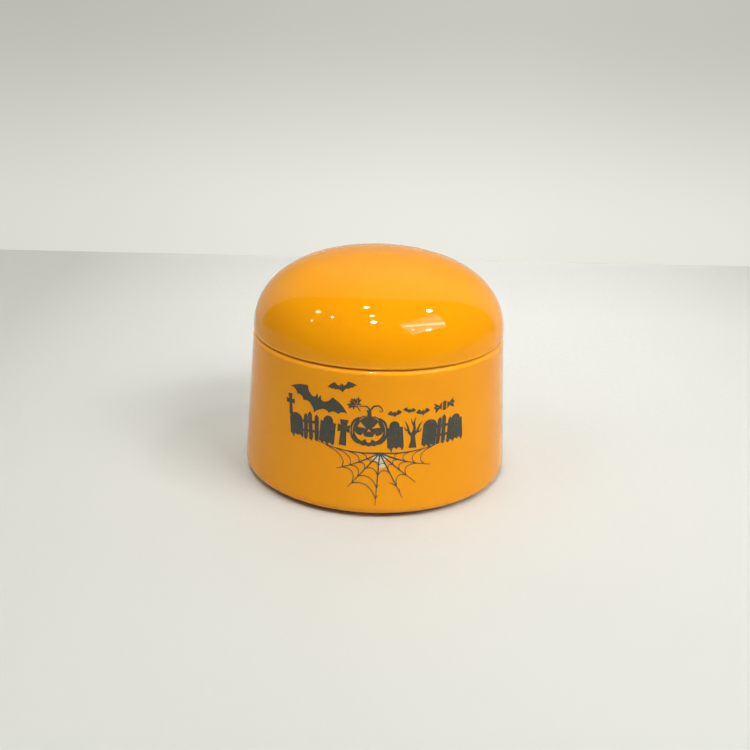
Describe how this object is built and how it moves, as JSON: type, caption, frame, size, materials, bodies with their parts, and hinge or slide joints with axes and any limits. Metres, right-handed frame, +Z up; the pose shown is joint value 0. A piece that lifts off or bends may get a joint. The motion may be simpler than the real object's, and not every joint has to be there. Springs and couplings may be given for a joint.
{
  "type": "lidded candle jar",
  "caption": "Round glazed ceramic candle jar with a domed lift-off lid, a poured candle inside and a charcoal autumn night print on the front.",
  "frame": {"origin": "centre of the resting plane under the foot ring, on the jar's axis", "axes": "+Z up along the jar's axis; the printed front faces -Y and +X is to the right as seen from the front"},
  "size_m": [0.1016, 0.1016, 0.0855],
  "materials": {
    "orange_glaze": "high-gloss orange glaze over pale clay, foot ring left bare",
    "lid_glaze": "high-gloss orange glaze over pale clay, lower seat left bare",
    "seal_silicone": "translucent satin silicone",
    "wax": "cream candle wax, satin",
    "cotton_wick": "braided cotton dipped in wax",
    "tab_steel": "pressed tin-plated steel",
    "sticker_foam": "white adhesive foam",
    "print_ink": "charcoal transfer fired into the glaze, glossy",
    "print_pale_ink": "pale transfer fired into the glaze, glossy"
  },
  "bodies": {
    "jar": {"jar_body": "orange_glaze", "candle_wax": "wax", "wick": "cotton_wick", "wick_tab": "tab_steel", "wick_sticker": "sticker_foam", "print_large_bat": "print_ink", "print_small_bats": "print_ink", "print_gravestones": "print_ink", "print_grave_crosses": "print_ink", "print_fences": "print_ink", "print_bare_tree": "print_ink", "print_pumpkin": "print_ink", "print_vine": "print_ink", "print_sweet": "print_ink", "print_web": "print_ink", "print_web_cells": "print_pale_ink"},
    "lid": {"lid": "lid_glaze", "lid_seal": "seal_silicone"}
  },
  "joints": [
    {"name": "lid_lift", "type": "slide", "parent": "jar", "child": "lid", "axis": [0, 0, 1], "range_m": [0, 0.06]}
  ]
}
